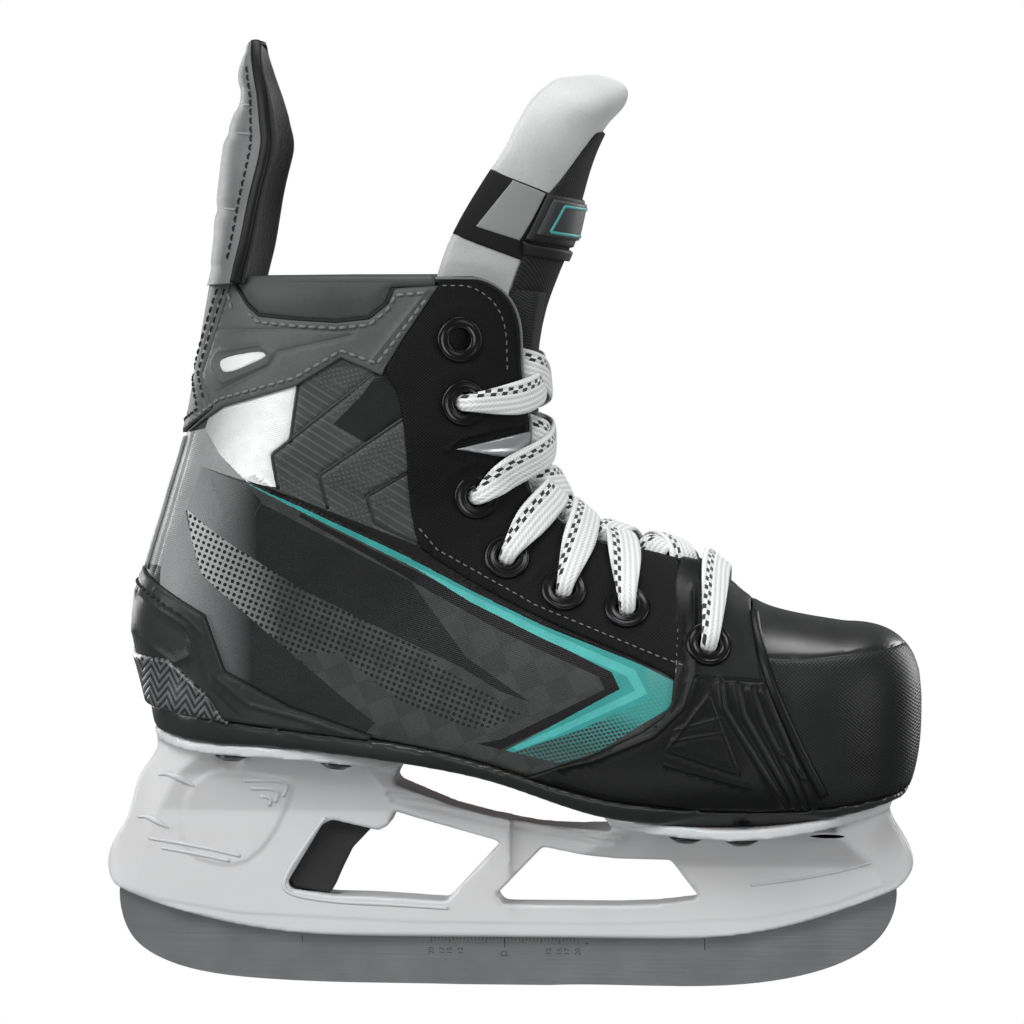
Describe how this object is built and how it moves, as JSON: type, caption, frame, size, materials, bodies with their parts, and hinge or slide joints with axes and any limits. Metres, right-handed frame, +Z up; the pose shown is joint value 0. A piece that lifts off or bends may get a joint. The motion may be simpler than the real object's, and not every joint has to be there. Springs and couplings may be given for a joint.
{
  "type": "ice hockey skate",
  "caption": "Right-foot youth ice hockey skate: moulded boot, laced throat, flexing tongue and tendon guard, blade holder with trigger-released steel runner.",
  "frame": {"origin": "where the runner's centre mark meets the ice, in the middle of the runner's width", "axes": "+X towards the toe, +Y towards the inner side of the foot, +Z up"},
  "size_m": [0.221, 0.0759, 0.2566],
  "materials": {
    "white_nylon": "satin moulded glass-filled nylon",
    "runner_steel": "ground stainless steel",
    "trigger_plastic": "fine matte moulding",
    "bright_steel": "plain",
    "rivet_metal": "blackened",
    "sole_plastic": "satin moulded sole",
    "board": "fibre board",
    "footbed_foam": "brushed cloth on foam",
    "lining_fabric": "brushed microfibre",
    "toe_plastic": "polished",
    "grey_leather": "grained coated leather",
    "black_leather": "smooth coated leather",
    "heel_plastic": "carbon-look twill",
    "wrap_rubber": "thermoplastic film",
    "printed_skin": "printed film, satin",
    "ankle_foam": "closed-cell foam",
    "black_textile": "tight nylon weave",
    "silver_insert": "metallic film",
    "eyelet_metal": "black lacquer",
    "tongue_cloth": "ribbed cloth",
    "white_felt": "dense felt",
    "guard_plastic": "flexible moulding",
    "black_felt": "brushed lining",
    "lace_white": "flat woven, dark tracer",
    "aglet_plastic": "clear film"
  },
  "bodies": {
    "boot": {"holder": "white_nylon", "trigger_pin": "bright_steel", "trigger_spring": "bright_steel", "rear_rivets": "rivet_metal", "front_rivets": "rivet_metal", "rivet_washers": "bright_steel", "outsole": "sole_plastic", "insole_board": "board", "footbed": "footbed_foam", "lining": "lining_fabric", "toe_cap": "toe_plastic", "guard_strap": "grey_leather", "back_strip": "black_leather", "heel_support": "heel_plastic", "heel_overlay": "wrap_rubber", "quarter_lateral": "printed_skin", "quarter_medial": "printed_skin", "facing_lateral": "printed_skin", "facing_medial": "printed_skin", "foam_lateral": "ankle_foam", "foam_medial": "ankle_foam", "forefoot_wrap_lateral": "wrap_rubber", "forefoot_wrap_medial": "wrap_rubber", "eyestay_lateral": "black_textile", "eyestay_medial": "black_textile", "eyestay_insert_lateral": "silver_insert", "eyestay_insert_medial": "silver_insert", "collar_overlay_lateral": "grey_leather", "collar_overlay_medial": "grey_leather", "collar_insert_lateral": "silver_insert", "collar_insert_medial": "silver_insert", "eyelets_lateral": "eyelet_metal", "eyelets_medial": "eyelet_metal", "tongue_lower": "tongue_cloth", "lace": "lace_white", "lace_aglets": "aglet_plastic"},
    "runner_body": {"runner": "runner_steel"},
    "trigger_body": {"trigger": "trigger_plastic"},
    "tongue_body": {"tongue_felt": "white_felt", "tongue_face": "tongue_cloth"},
    "guard_body": {"guard_shell": "guard_plastic", "guard_lining": "black_felt"}
  },
  "joints": [
    {"name": "runner_release", "type": "hinge", "parent": "boot", "child": "runner_body", "pos_m": [0.072, 0, 0.025], "axis": [0, -1, 0], "range_deg": [0, 3.5]},
    {"name": "trigger_pull", "type": "hinge", "parent": "boot", "child": "trigger_body", "pos_m": [-0.042, 0, 0.05], "axis": [0, 1, 0], "range_deg": [0, 14], "stiffness_Nm_per_rad": 0.2, "springref_deg": -20.05},
    {"name": "tongue_flex", "type": "hinge", "parent": "boot", "child": "tongue_body", "pos_m": [0.012, 0, 0.1844], "axis": [0, 1, 0], "range_deg": [0, 35], "stiffness_Nm_per_rad": 0.6, "springref_deg": -2.86},
    {"name": "guard_flex", "type": "hinge", "parent": "boot", "child": "guard_body", "pos_m": [-0.072, 0, 0.1944], "axis": [0, 1, 0], "range_deg": [-20, 8], "stiffness_Nm_per_rad": 1.2}
  ],
  "couplings": [
    {"joint": "trigger_pull", "follows": "runner_release", "ratio": 4}
  ]
}
